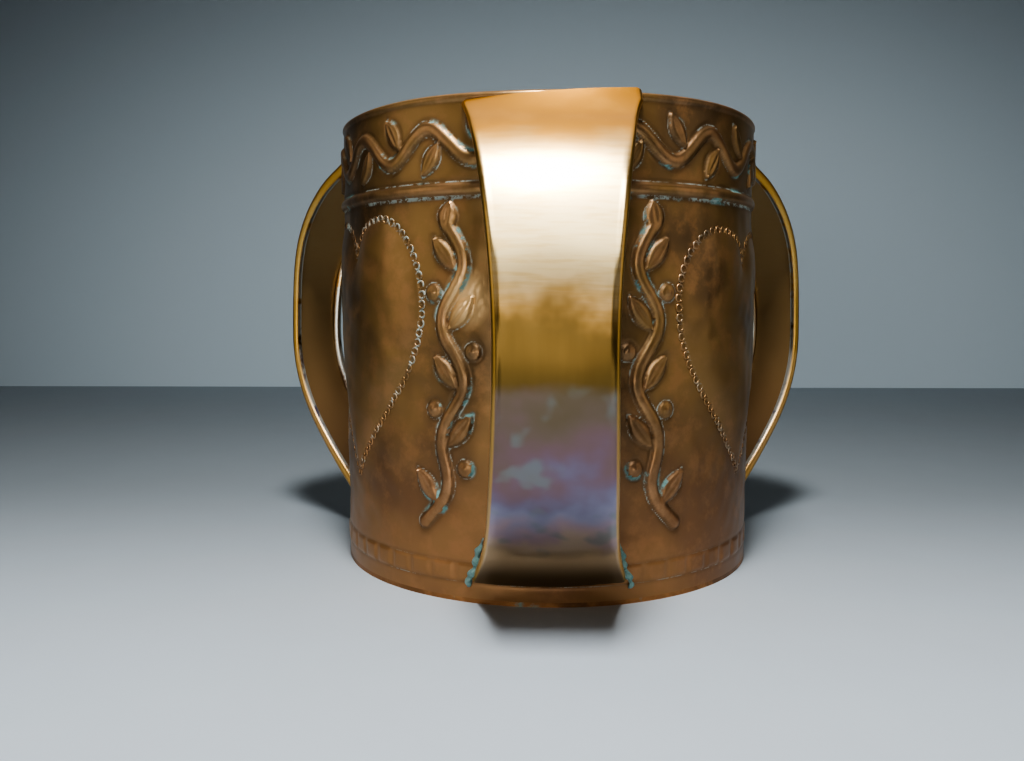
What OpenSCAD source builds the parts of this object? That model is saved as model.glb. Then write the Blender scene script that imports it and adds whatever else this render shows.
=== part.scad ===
// Three-handled copper mug: a rolled sheet wall on a flat base disc, with three broad
// strap handles. The origin is the centre of the base's underside, +Z is up, and the
// front handle points along -Y. Sizes are in millimetres.

/* [Body] */
// Outside diameter of the wall
body_d = 124; // [110:1:140]
// Height from the table to the top of the rim
body_h = 129; // [125:1:135]
// Thickness of the wall's sheet
sheet_t = 0.9; // [0.7:0.1:1.2]
// Thickness of the base disc
base_t = 1.2; // [0.8:0.1:2]
// Width of the brazed seam that closes the wall
seam_w = 0.6; // [0.4:0.1:1]
// Bearing of the seam, behind the left handle
seam_angle = 150; // [150, 30, 270]

/* [Rim] */
// Diameter of the wire inside the rolled rim
rim_wire_d = 1.1; // [0.8:0.1:1.3]
// Diameter of the rolled rim
rim_roll_d = 2.2; // [2:0.1:2.6]
// How far the rolled rim stands proud of the wall
rim_proud = 0.4; // [0.2:0.1:0.6]

/* [Frieze rib] */
// Height of the raised rib under the frieze
rib_z = 106; // [95:1:112]
// Height of the rib from edge to edge
rib_tall = 2.4; // [1.6:0.2:4]
// How far the rib stands proud of the wall
rib_proud = 0.8; // [0.3:0.1:1.2]

/* [Handle sweep] */
// Reach of the front handle from the mug's axis
front_reach = 97; // [90:1:104]
// Reach of the two side handles from the mug's axis
side_reach = 99; // [90:1:104]
// Height at which a handle reaches furthest
handle_mid_z = 66; // [60:1:72]
// Height at which the strap leaves the wall
handle_top_z = 126.3; // [122:0.1:126.4]
// Height at which the strap comes back to the wall
handle_foot_z = 5.4; // [4:0.1:9]
// Slope of the strap below the horizontal where it leaves the wall
leave_angle = 26; // [20:1:35]
// Slope of the strap where it comes back to the wall
return_angle = 47; // [38:1:55]
// Fullness of the upper sweep at the wall and at the furthest reach
upper_pull = [30, 33]; // [20:1:36]
// Fullness of the lower sweep at the furthest reach and at the wall
lower_pull = [27, 26]; // [20:1:32]

/* [Handle strap] */
// Width of the strap at the rim
strap_w_top = 44.5; // [36:0.1:46]
// Width of the front strap at its narrowest
strap_w_mid = 27.5; // [22:0.1:32]
// Width of the two side straps at their narrowest
side_w_mid = 24; // [22:0.1:32]
// Width of the strap at its foot
strap_w_foot = 41; // [32:0.1:42]
// How much of the rim's width comes from the flare at the strap's very top
top_flare = 3.8; // [0:0.2:6]
// How much of the foot's width comes from the flare at the strap's very foot
foot_flare = 6.5; // [0:0.5:8]
// Thickness of the strap's sheet
strap_t = 1; // [0.8:0.1:1.2]
// Depth of the edge that is rolled over its wire
hem_depth = 3; // [2.8:0.1:3.4]
// Width of the turned lip that holds the wire
hem_w = 2.8; // [2.6:0.1:3.4]
// Diameter of the wire in each rolled edge
edge_wire_d = 1; // [0.7:0.1:1]

/* [Solder] */
// Leg of the solder fillet inside the base
base_fillet = 2; // [1:0.5:3]
// Leg of the solder fillets where the straps meet the wall
strap_fillet = 2.6; // [1.5:0.1:4]

/* [Hidden] */

$fn = 96;
body_r = body_d / 2;
bearing_front = 0;
bearing_right = 120;
bearing_left = 240;
rim_roll_r = rim_roll_d / 2;
rim_centre = [body_r + rim_proud - rim_roll_r, body_h - rim_roll_r];
top_flare_power = 8;
foot_flare_power = 6;
sweep_steps = 20;
wire_sides = 8;
fit_gap = 0.05;
wedge_angle = 52;
hem_lip_t = 0.8;
wire_depth = (strap_t + hem_depth - hem_lip_t) / 2;
wire_inset = hem_lip_t + wire_depth - strap_t;

copper = [0.55, 0.33, 0.17];
golden_copper = [0.72, 0.47, 0.22];
spelter = [0.78, 0.66, 0.36];
solder_grey = [0.62, 0.63, 0.6];
wire_copper = [0.6, 0.36, 0.2];

// ---- The curve of a handle, as radius and height about the mug's axis ----

function upper_sweep(reach) = [
    [body_r, handle_top_z],
    [body_r + upper_pull[0] * cos(leave_angle), handle_top_z - upper_pull[0] * sin(leave_angle)],
    [reach, handle_mid_z + upper_pull[1]],
    [reach, handle_mid_z]];
function lower_sweep(reach) = [
    [reach, handle_mid_z],
    [reach, handle_mid_z - lower_pull[0]],
    [body_r + lower_pull[1] * cos(return_angle), handle_foot_z + lower_pull[1] * sin(return_angle)],
    [body_r, handle_foot_z]];

// Point on a cubic curve
function cubic(p, t) =
    pow(1 - t, 3) * p[0] + 3 * pow(1 - t, 2) * t * p[1] + 3 * (1 - t) * t * t * p[2] + pow(t, 3) * p[3];

// Direction of travel along a cubic curve
function cubic_slope(p, t) =
    pow(1 - t, 2) * (p[1] - p[0]) + 2 * (1 - t) * t * (p[2] - p[1]) + t * t * (p[3] - p[2]);

// The sweep from the rim, t = 0, by the furthest reach, t = 1, to the foot, t = 2
function sweep_point(reach, t) = t < 1 ? cubic(upper_sweep(reach), t) : cubic(lower_sweep(reach), t - 1);
function sweep_slope(reach, t) =
    t < 1 ? cubic_slope(upper_sweep(reach), t) : cubic_slope(lower_sweep(reach), t - 1);

// Unit vector out of the strap's outer face
function sweep_normal(reach, t) = let (s = sweep_slope(reach, t)) [-s[1], s[0]] / norm(s);

// Point of the sweep at a depth below the outer face
function sunk_point(reach, t, depth) = sweep_point(reach, t) - depth * sweep_normal(reach, t);

// Width of the strap at a height: a parabola from mid height to each end, and a short flare
function strap_width(mid, z) =
    let (up = max(0, min(1, (z - handle_mid_z) / (handle_top_z - handle_mid_z))),
         down = max(0, min(1, (handle_mid_z - z) / (handle_mid_z - handle_foot_z))))
    mid
        + (strap_w_top - mid - top_flare) * pow(up, 2) + top_flare * pow(up, top_flare_power)
        + (strap_w_foot - mid - foot_flare) * pow(down, 2) + foot_flare * pow(down, foot_flare_power);

sweep_stations = [for (i = [0 : 2 * sweep_steps]) i / sweep_steps];
outline_heights = [for (i = [0 : 2 * sweep_steps])
    body_h + 2 - i * (body_h + 4) / (2 * sweep_steps)];

// ---- Body ----

// Section of the wall: plain sheet, the raised rib and the rolled rim
module wall_section() {
    inner_r = body_r - sheet_t;
    half = rib_tall / 2;
    difference() {
        union() {
            polygon([
                [inner_r, base_t], [body_r, base_t],
                [body_r, rib_z - half], [body_r + rib_proud, rib_z - half / 2],
                [body_r + rib_proud, rib_z + half / 2], [body_r, rib_z + half],
                [body_r, rim_centre[1]], [inner_r, rim_centre[1]],
                [inner_r, rib_z + half], [inner_r + rib_proud, rib_z + half / 2],
                [inner_r + rib_proud, rib_z - half / 2], [inner_r, rib_z - half]]);
            translate(rim_centre) circle(r = rim_roll_r);
        }
        translate(rim_centre) circle(d = rim_wire_d);
    }
}

// Slot in which the wall's two edges meet
module seam_slot() {
    rotate([0, 0, seam_angle])
        translate([body_r - 6, -seam_w / 2, 0]) cube([12, seam_w, body_h + 1]);
}

module body_wall() {
    color(copper) difference() {
        rotate_extrude() wall_section();
        seam_slot();
    }
}

module body_seam() {
    color(spelter) intersection() {
        rotate_extrude() wall_section();
        seam_slot();
    }
}

module rim_wire() {
    color(wire_copper) rotate_extrude()
        translate(rim_centre) circle(d = rim_wire_d);
}

module base_disc() {
    color(copper) cylinder(r = body_r, h = base_t);
}

module base_solder() {
    inner_r = body_r - sheet_t;
    color(solder_grey) rotate_extrude()
        polygon([[inner_r, base_t], [inner_r, base_t + base_fillet], [inner_r - base_fillet, base_t]]);
}

// ---- Handles, drawn at the front and turned to their bearing ----

// Strip of the strap's side view between two depths below its outer face
module side_strip(reach, from_depth, to_depth) {
    polygon(concat(
        [for (t = sweep_stations) sunk_point(reach, t, from_depth)],
        [for (i = [2 * sweep_steps : -1 : 0]) sunk_point(reach, sweep_stations[i], to_depth)]));
}

// That strip carried round the mug's axis, so that the strap's ends fit the wall
module swept_strip(reach, from_depth, to_depth) {
    rotate([0, 0, -90 - wedge_angle / 2])
        rotate_extrude(angle = wedge_angle) side_strip(reach, from_depth, to_depth);
}

// Block whose front view is the strap's outline, narrowed by an inset on each side
module front_block(mid, inset) {
    translate([0, -body_r / 2, 0]) rotate([90, 0, 0])
        linear_extrude(height = max(front_reach, side_reach))
            polygon(concat(
                [for (z = outline_heights) [strap_width(mid, z) / 2 - inset, z]],
                [for (i = [2 * sweep_steps : -1 : 0])
                    [inset - strap_width(mid, outline_heights[i]) / 2, outline_heights[i]]]));
}

// What the wall and its rolled rim take up
module wall_space() {
    cylinder(r = body_r, h = body_h);
    rotate_extrude() translate(rim_centre) circle(r = rim_roll_r + fit_gap);
}

// Strap with both edges turned in: the face, two edge walls and two lips under the wires
module strap(reach, mid) {
    difference() {
        intersection() {
            swept_strip(reach, 0, hem_depth);
            front_block(mid, 0);
        }
        intersection() {
            swept_strip(reach, strap_t, hem_depth - hem_lip_t);
            front_block(mid, hem_lip_t);
        }
        intersection() {
            swept_strip(reach, strap_t, hem_depth + 1);
            front_block(mid, hem_w);
        }
        wall_space();
    }
}

module handle(bearing, reach, mid) {
    color(golden_copper) rotate([0, 0, bearing]) strap(reach, mid);
}

// Centre of an edge wire at a station: angle about the axis from the sideways offset
function wire_centre(reach, mid, t, side) =
    let (p = sunk_point(reach, t, wire_depth),
         x = side * (strap_width(mid, p[1]) / 2 - wire_inset),
         a = asin(x / p[0]))
    [x, -p[0] * cos(a), p[1]];

// Wire in a rolled edge: rings of points across the sweep, joined into one tube
module edge_wire(bearing, reach, mid, side) {
    stations = [for (i = [1 : 2 * sweep_steps - 1]) sweep_stations[i]];
    rings = len(stations);
    points = [for (t = stations) for (k = [0 : wire_sides - 1])
        let (c = wire_centre(reach, mid, t, side),
             n = sweep_normal(reach, t),
             turn = 360 * k / wire_sides,
             out = cos(turn) * edge_wire_d / 2,
             across = sin(turn) * edge_wire_d / 2,
             a = asin(c[0] / norm([c[0], c[1]])))
        c + out * [n[0] * sin(a), -n[0] * cos(a), n[1]] + across * [cos(a), sin(a), 0]];
    faces = concat(
        [[for (k = [0 : wire_sides - 1]) k]],
        [for (r = [0 : rings - 2]) for (k = [0 : wire_sides - 1])
            let (next = (k + 1) % wire_sides)
            [r * wire_sides + k, (r + 1) * wire_sides + k,
             (r + 1) * wire_sides + next, r * wire_sides + next]],
        [[for (k = [wire_sides - 1 : -1 : 0]) (rings - 1) * wire_sides + k]]);
    color(wire_copper) rotate([0, 0, bearing]) polyhedron(points = points, faces = faces, convexity = 6);
}

// ---- Solder where the straps meet the wall ----

// Ring sector of a fillet: its corner, and the slope of the strap face that it lies on
module fillet_sector(corner_z, slope_angle, width) {
    half = asin(width / 2 / body_r);
    rotate([0, 0, -90 - half]) rotate_extrude(angle = 2 * half)
        polygon([
            [body_r, corner_z],
            [body_r, corner_z - strap_fillet * sign(slope_angle)],
            [body_r + strap_fillet * cos(slope_angle), corner_z - strap_fillet * sin(slope_angle)]]);
}

module rim_solder(bearing) {
    corner_z = handle_top_z - strap_t / cos(leave_angle) - fit_gap;
    color(solder_grey) rotate([0, 0, bearing])
        fillet_sector(corner_z, leave_angle + 1, strap_w_top - 2 * hem_w - 4);
}

module foot_solder(bearing) {
    corner_z = handle_foot_z + strap_t / cos(return_angle) + fit_gap;
    color(solder_grey) rotate([0, 0, bearing])
        fillet_sector(corner_z, -return_angle - 1, strap_w_foot - 2 * hem_w - 4);
}

body_wall();
body_seam();
rim_wire();
base_disc();
base_solder();
handle(bearing_front, front_reach, strap_w_mid);  // handle_front
handle(bearing_right, side_reach, side_w_mid);  // handle_right
handle(bearing_left, side_reach, side_w_mid);  // handle_left
edge_wire(bearing_front, front_reach, strap_w_mid, -1);  // front_edge_wire_left
edge_wire(bearing_front, front_reach, strap_w_mid, 1);  // front_edge_wire_right
edge_wire(bearing_right, side_reach, side_w_mid, -1);  // right_edge_wire_left
edge_wire(bearing_right, side_reach, side_w_mid, 1);  // right_edge_wire_right
edge_wire(bearing_left, side_reach, side_w_mid, -1);  // left_edge_wire_left
edge_wire(bearing_left, side_reach, side_w_mid, 1);  // left_edge_wire_right
rim_solder(bearing_front);  // front_rim_solder
rim_solder(bearing_right);  // right_rim_solder
rim_solder(bearing_left);  // left_rim_solder
foot_solder(bearing_front);  // front_foot_solder
foot_solder(bearing_right);  // right_foot_solder
foot_solder(bearing_left);  // left_foot_solder
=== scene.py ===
"""Looks of the three-handled copper mug: embossed wall, rolled straps, solder, finishes and studio.

Every length inside the mug's classes is in millimetres, as a coppersmith would give it, and is
turned into metres when a mesh is written; the studio is in metres. Bearings are turned about the
mug's axis from the front handle.
"""

import logging
import math
from dataclasses import dataclass
from enum import Enum

import bpy
import numpy as np
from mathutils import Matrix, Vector

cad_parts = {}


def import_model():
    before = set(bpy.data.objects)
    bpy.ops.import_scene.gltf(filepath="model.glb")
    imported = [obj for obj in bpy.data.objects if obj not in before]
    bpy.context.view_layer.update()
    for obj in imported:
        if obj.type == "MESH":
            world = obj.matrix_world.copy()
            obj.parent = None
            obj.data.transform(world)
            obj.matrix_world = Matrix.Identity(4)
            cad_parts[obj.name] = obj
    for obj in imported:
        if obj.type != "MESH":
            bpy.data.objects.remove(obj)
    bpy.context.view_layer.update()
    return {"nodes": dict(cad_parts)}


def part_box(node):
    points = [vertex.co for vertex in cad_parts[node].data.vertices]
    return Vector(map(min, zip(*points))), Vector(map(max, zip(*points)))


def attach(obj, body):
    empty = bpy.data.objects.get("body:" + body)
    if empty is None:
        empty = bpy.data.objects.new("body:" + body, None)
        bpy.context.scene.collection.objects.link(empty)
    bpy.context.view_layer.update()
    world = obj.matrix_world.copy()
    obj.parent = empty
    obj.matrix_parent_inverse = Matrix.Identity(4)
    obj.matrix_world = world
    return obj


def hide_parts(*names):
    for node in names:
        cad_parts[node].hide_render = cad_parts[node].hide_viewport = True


LOG = logging.getLogger("copper_mug")
METRES = 0.001
BODY = "root"


class Bearing(Enum):
    """Where a handle stands, in degrees round the mug from the front."""

    FRONT = 0.0
    RIGHT = 120.0
    LEFT = 240.0

    @property
    def word(self) -> str:
        """The handle's name in the frame."""
        return self.name.lower()


# ---------------------------------------------------------------- mesh helpers


def write_mesh(name: str, points: np.ndarray, faces: list, sharp_deg: float = 70.0) -> bpy.types.Object:
    """Writes a closed mesh in metres, with its faces turned outwards, and links it.

    The volume enclosed is the sum of each face's corner products; where it comes out negative
    the faces are turned over.

    Args:
        name: the piece's name.
        points: corner places in millimetres, (n, 3).
        faces: index lists.
        sharp_deg: edges bent by more than this stay sharp.

    Returns:
        The new object.
    """
    mesh = bpy.data.meshes.new(name)
    mesh.from_pydata((points * METRES).tolist(), [], faces)
    mesh.update()
    if enclosed_volume(mesh) < 0:
        mesh.flip_normals()
    mesh.shade_smooth()
    mesh.set_sharp_from_angle(angle=math.radians(sharp_deg))
    piece = bpy.data.objects.new(name, mesh)
    bpy.context.scene.collection.objects.link(piece)
    return piece


def enclosed_volume(mesh: bpy.types.Mesh) -> float:
    """Volume inside a closed mesh: a sixth of the sum of a . (b x c) over its triangles."""
    mesh.calc_loop_triangles()
    corners = np.empty(len(mesh.loop_triangles) * 3, dtype=np.int32)
    mesh.loop_triangles.foreach_get("vertices", corners)
    places = np.empty(len(mesh.vertices) * 3, dtype=np.float32)
    mesh.vertices.foreach_get("co", places)
    a, b, c = places.reshape(-1, 3)[corners.reshape(-1, 3)].transpose(1, 0, 2)
    return float(np.einsum("ij,ij->i", a, np.cross(b, c)).sum() / 6)


def tube_faces(rings: int, around: int, capped: bool = True) -> list:
    """Faces of a tube of closed rings: quads between neighbours, and a cap at each end.

    Args:
        rings: how many rings.
        around: points in each ring.
        capped: whether the ends are closed; otherwise the last ring joins the first.

    Returns:
        Index lists into the rings laid one after another.
    """
    ring = np.arange(rings - 1 if capped else rings)[:, None] * around
    step = (ring + around) % (rings * around)
    here = np.arange(around)[None, :]
    after = (here + 1) % around
    quads = np.stack([ring + here, ring + after, step + after, step + here], axis=-1)
    faces = quads.reshape(-1, 4).tolist()
    if capped:
        faces.append(list(range(around))[::-1])
        faces.append(list(range((rings - 1) * around, rings * around)))
    return faces


def store_mask(piece: bpy.types.Object, name: str, values: np.ndarray) -> None:
    """Keeps a value for each point of a piece, for its finish to read."""
    layer = piece.data.attributes.new(name, "FLOAT", "POINT")
    layer.data.foreach_set("value", values.astype(np.float32).ravel())


def place_piece(piece: bpy.types.Object, slot: str, finish: bpy.types.Material, *nodes: str) -> None:
    """Dresses a piece, makes it ride with the mug, and names the nodes that it stands for."""
    piece.data.materials.append(finish)
    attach(piece, BODY)
    if nodes:
        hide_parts(*nodes)
    LOG.info("%s: %d faces for %s", piece.name, len(piece.data.polygons), ", ".join(nodes) or "trim")


def smooth_step(x: np.ndarray) -> np.ndarray:
    """0 below 0 and 1 above 1, with the cubic 3x^2 - 2x^3 between."""
    x = np.clip(x, 0.0, 1.0)
    return x * x * (3 - 2 * x)


def cubic(points: np.ndarray, t: np.ndarray) -> np.ndarray:
    """Points on a cubic curve: its control points weighted by (1-t)^3, 3(1-t)^2 t, 3(1-t)t^2, t^3."""
    t = t[:, None]
    weights = [(1 - t) ** 3, 3 * (1 - t) ** 2 * t, 3 * (1 - t) * t**2, t**3]
    return sum(w * p for w, p in zip(weights, points))


def cubic_slope(points: np.ndarray, t: np.ndarray) -> np.ndarray:
    """Direction of travel along a cubic curve: its points' differences, weighted as a square's are."""
    t = t[:, None]
    steps = np.diff(points, axis=0)
    return (1 - t) ** 2 * steps[0] + 2 * (1 - t) * t * steps[1] + t**2 * steps[2]


# ---------------------------------------------------------------- sizes from the frame


@dataclass(frozen=True)
class MugSize:
    """Driving sizes, read from the frame, in millimetres."""

    radius: float
    height: float
    base: float
    front_reach: float
    side_reach: float
    strap_width: float = 27.5
    side_width: float = 24.0
    sheet: float = 0.9

    @classmethod
    def from_frame(cls) -> "MugSize":
        """Measures the base disc, the wall and the handles.

        A side handle stands 30 degrees off the sideways axis, so the outermost point in the box is
        a corner of its strap, and its reach follows from that corner by Pythagoras.
        """
        base_low, base_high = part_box("base_disc")
        wall_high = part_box("body_wall")[1]
        front_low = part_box("handle_front")[0]
        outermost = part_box("handle_right")[1].x / METRES
        corner_ahead = (outermost - cls.side_width / 4) / math.sin(math.radians(60))
        return cls(
            radius=(base_high.x - base_low.x) / 2 / METRES,
            height=wall_high.z / METRES,
            base=base_high.z / METRES,
            front_reach=-front_low.y / METRES,
            side_reach=math.hypot(corner_ahead, cls.side_width / 2),
        )


# ---------------------------------------------------------------- the embossing


@dataclass(frozen=True)
class Leaf:
    """A pointed leaf boss: its middle, the bearing of its tip, and its half length and half width."""

    across: float
    up: float
    turn: float
    half_length: float = 5.4
    half_width: float = 2.5


@dataclass
class Heart:
    """The raised heart between two handles, as its outline and the swell inside it."""

    half_width: float = 30.0
    top: float = 99.5
    cleft: float = 89.5
    widest: float = 78.0
    tip: float = 29.0
    swell: float = 1.7
    shoulder: float = 13.0

    def outline(self, count: int = 90) -> np.ndarray:
        """Closed outline: cubic curves from the cleft over a lobe and down to the tip, mirrored.

        Args:
            count: points along each of the curves.

        Returns:
            Points across and up, (n, 2).
        """
        lobe = 0.47 * self.half_width
        w = self.half_width
        curves = [
            [(0, self.cleft), (2.5, self.cleft + 6.5), (lobe - 8, self.top), (lobe, self.top)],
            [(lobe, self.top), (lobe + 9.5, self.top), (w, self.widest + 9), (w, self.widest)],
            [(w, self.widest), (w, self.widest - 22), (0.36 * w, self.tip + 17), (0, self.tip)],
        ]
        t = np.linspace(0, 1, count, endpoint=False)
        right = np.vstack([cubic(np.array(c, float), t) for c in curves])
        left = right[::-1] * [-1, 1]
        return np.vstack([right, [[0, self.tip]], left[:-1]])

    def signed_distance(self, across: np.ndarray, up: np.ndarray) -> np.ndarray:
        """Distance in from the outline, negative outside: nearest outline point, signed by crossings."""
        line = self.outline()
        distance = nearest_distance(line, across, up)
        inside = np.zeros(across.shape, bool)
        for (x0, y0), (x1, y1) in zip(line, np.roll(line, -1, axis=0)):
            if y0 == y1:
                continue
            between = (up >= min(y0, y1)) & (up < max(y0, y1))
            inside ^= between & (across < x0 + (up - y0) * (x1 - x0) / (y1 - y0))
        return np.where(inside, distance, -distance)


def nearest_distance(
    points: np.ndarray, across: np.ndarray, up: np.ndarray, block: int = 24
) -> np.ndarray:
    """Distance from each place on the sheet to the nearest of the points of a line."""
    best = np.full(across.shape, 1e9, np.float32)
    across = across.astype(np.float32)
    up = up.astype(np.float32)
    for start in range(0, len(points), block):
        part = points[start : start + block].astype(np.float32)
        gap = (across[..., None] - part[:, 0]) ** 2 + (up[..., None] - part[:, 1]) ** 2
        np.minimum(best, gap.min(axis=-1), out=best)
    return np.sqrt(best)


@dataclass
class Embossing:
    """The pattern raised in one third of the wall, between two handles.

    Places are millimetres across from the heart's middle and up from the table.
    """

    size: MugSize
    heart: Heart
    seed: int
    rib: float = 105.8
    rib_half: float = 1.5
    rib_rise: float = 0.85
    stem_half: float = 1.8
    stem_rise: float = 0.95
    leaf_rise: float = 0.9
    vine_wave: float = 25.97
    vine_swing: float = 4.0
    vine_middle: float = 117.0
    climb_wave: float = 30.0
    climb_swing: float = 3.2
    climb_low: float = 20.0
    climb_high: float = 97.0
    climb_beside: float = 25.5
    climb_drawn_in: float = 10.0
    drawn_in_below: float = 44.0
    drawn_in_over: float = 30.0
    berry_r: float = 2.3
    berry_rise: float = 0.95
    groove_out: float = 0.3
    groove_half: float = 0.36
    foot_lines: tuple = (10.6, 5.2)
    rubbed: tuple | None = None

    @property
    def half_arc(self) -> float:
        """Half the arc between two handles' middles."""
        return self.size.radius * math.pi / 3

    def climbing_stem(self, side: int, up: np.ndarray) -> np.ndarray:
        """Sideways place of a climbing stem: beside its handle, swaying, and drawn in under the heart."""
        beside = self.half_arc - self.climb_beside
        drawn_in = self.climb_drawn_in * smooth_step((self.drawn_in_below - up) / self.drawn_in_over)
        sway = self.climb_swing * np.sin(2 * math.pi * (up - self.climb_low) / self.climb_wave)
        return side * (beside - drawn_in + sway)

    def stems(self) -> np.ndarray:
        """Points along the frieze's running stem and the two climbing stems."""
        across = np.arange(-self.half_arc, self.half_arc, 0.4)
        frieze_up = self.vine_middle + self.vine_swing * np.sin(2 * math.pi * across / self.vine_wave)
        frieze = np.column_stack([across, frieze_up])
        up = np.arange(self.climb_low, self.climb_high, 0.35)
        climbers = [np.column_stack([self.climbing_stem(side, up), up]) for side in (-1, 1)]
        return np.vstack([frieze, *climbers])

    def leaves(self) -> list:
        """Leaves in the hollows of the stems, and a bud on each climbing stem's end."""
        found = []
        quarter = self.vine_wave / 4
        for k in range(-5, 5):
            across = (2 * k + 1) * quarter
            above = -1 if k % 2 == 0 else 1
            found.append(Leaf(across + 1.0, self.vine_middle + above * 3.6, 90 + above * 32, 4.9, 2.4))
        for side in (-1, 1):
            for k, up in enumerate((27.5, 42.5, 57.5, 72.5, 87.5)):
                outward = side if k % 2 else -side
                middle = float(self.climbing_stem(side, np.array([up]))[0])
                found.append(Leaf(middle + outward * 5.4, up + 2.2, 90 - outward * 38, 5.6, 2.5))
            tip = float(self.climbing_stem(side, np.array([self.climb_high]))[0])
            found.append(Leaf(tip, self.climb_high + 2.0, 90 - side * 12, 4.2, 2.9))
        return found

    def berries(self) -> list:
        """Middles of the round bosses: one in each wider hollow of the climbing stems."""
        found = []
        for side in (-1, 1):
            for k, up in enumerate((35.0, 50.0, 65.0, 80.0)):
                inward = -side if k % 2 else side
                middle = float(self.climbing_stem(side, np.array([up]))[0])
                found.append((middle + inward * 5.6, up))
        return found

    def dents(self, across: np.ndarray, up: np.ndarray) -> np.ndarray:
        """Unevenness of hand work: slow and quick waves in random directions, still at the edges."""
        draw = np.random.default_rng(self.seed)
        total = np.zeros(across.shape)
        for shortest, longest, depth, count in ((16, 46, 0.06, 12), (5, 12, 0.022, 16)):
            for _ in range(count):
                length = draw.uniform(shortest, longest)
                turn = draw.uniform(0, math.pi)
                phase = draw.uniform(0, 2 * math.pi)
                along = across * math.cos(turn) + up * math.sin(turn)
                total += depth * length / longest * np.sin(2 * math.pi * along / length + phase)
        edge = smooth_step((self.half_arc - np.abs(across)) / 14.0)
        foot = smooth_step((up - self.size.base) / 5.0)
        head = smooth_step((self.size.height - 2 - up) / 6.0)
        return total * edge * foot * head

    def relief(self, across: np.ndarray, up: np.ndarray) -> dict:
        """How far each place stands out, with its masks of grime and painted shade, of rubbing and
        painted highlight, of pale crusting and painted glint, and of wear.

        A stem is a round bar sunk to its middle; a leaf is the same across its width, with a chased
        midrib; a berry is a boss with a punched ring; the heart swells from its outline, steeply at first
        and then flat. A fine groove follows every outline, and old pale crusting sits in it, which also
        stands in for painted glints along the chased edges. The recesses beside the relief, the grooves
        and the groove under the rib are darkened with grime and painted shade; the tops of the relief and
        a band just inside the heart's outline are brightened with rubbing and painted highlight.

        Args:
            across: places across, in a grid.
            up: places up, in the same grid.

        Returns:
            Rise in millimetres, and masks from 0 to 1, by name.
        """
        stem = nearest_distance(self.stems(), across, up)
        rise = self.stem_rise * np.clip(1 - (stem / self.stem_half) ** 2, 0, None) ** 0.55
        away = stem - self.stem_half
        for leaf in self.leaves():
            swell, gap = self.leaf_swell(leaf, across, up)
            rise = np.maximum(rise, swell)
            away = np.minimum(away, gap)
        for middle, height in self.berries():
            gap = np.hypot(across - middle, up - height)
            mound = np.clip(1 - (gap / self.berry_r) ** 2, 0, None) ** 0.6
            rise = np.maximum(rise, self.berry_rise * mound)
            rise -= 0.3 * np.exp(-(((gap - self.berry_r / 2) / 0.35) ** 2))
            away = np.minimum(away, gap - self.berry_r)
        rib_gap = np.abs(up - self.rib)
        mound = np.clip(1 - (rib_gap / self.rib_half) ** 2, 0, None) ** 0.6
        rise = np.maximum(rise, self.rib_rise * mound)
        away = np.minimum(away, rib_gap - self.rib_half)
        chased = np.exp(-(((away - self.groove_out) / self.groove_half) ** 2))
        heart = self.heart.signed_distance(across, up)
        ramp = np.clip(heart / self.heart.shoulder, 0, 1)
        dome = self.heart.swell * (1 - (1 - ramp) ** 2.4)
        line = np.exp(-((heart / 0.55) ** 2))
        band, lines = self.foot_band(across, up)
        worn = np.zeros(across.shape)
        if self.rubbed:
            middle, height, reach = self.rubbed
            worn = np.clip(1.25 - np.hypot(across - middle, (up - height) * 0.8) / reach, 0, 1)
        facets = np.sin(2.2 * across + 1.3 * np.sin(1.1 * up))
        facets = facets * np.sin(1.9 * up + 1.7 * np.sin(0.9 * across))
        cut = 0.2 * chased + 0.2 * line + 0.1 * lines
        # the recesses beside the relief (hollow) and the groove under the rib are darkened: grime and
        # painted shade
        hollow = np.exp(-np.clip(away, 0, None) / 1.1) * (away > -0.4)
        under_rib = 0.8 * np.exp(-(((up - self.rib + 2.3) / 0.6) ** 2))
        # the tops of the relief and a band 3 mm inside the heart's outline are brightened: rubbing and a
        # painted highlight
        polish = np.clip(rise / self.stem_rise, 0, 1) + 0.3 * np.exp(-(((heart - 3.0) / 2.5) ** 2))
        return {
            "rise": rise + dome + band + 0.09 * facets * worn - cut + self.dents(across, up),
            "dirt_and_shade": np.clip(hollow + 0.6 * line + 0.5 * lines + 0.6 * under_rib, 0, 1),
            "polish": np.clip(polish, 0, 1),
            "crust_and_glint": np.clip(chased * (away > -0.5) + 0.8 * lines + under_rib, 0, 1),
            "worn": worn,
        }

    def leaf_swell(self, leaf: Leaf, across: np.ndarray, up: np.ndarray) -> tuple:
        """Rise of one leaf and the distance outside it: width falls to its two points as 1 - u^2."""
        turn = math.radians(leaf.turn)
        dx = across - leaf.across
        dy = up - leaf.up
        along = (dx * math.cos(turn) + dy * math.sin(turn)) / leaf.half_length
        aside = -dx * math.sin(turn) + dy * math.cos(turn)
        width = leaf.half_width * np.clip(1 - along**2, 0.02, None)
        inside = np.clip(1 - (aside / width) ** 2, 0, None) * (np.abs(along) < 1)
        midrib = 0.35 * np.exp(-((aside / 0.32) ** 2)) * (np.abs(along) < 0.8)
        past_tip = np.clip(np.abs(along) - 1, 0, None) * leaf.half_length
        gap = np.hypot(np.clip(np.abs(aside) - width, 0, None), past_tip)
        gap = np.where(inside > 0, np.abs(aside) - width, gap)
        return self.leaf_rise * inside**0.6 - midrib * (inside > 0.05), gap

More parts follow.
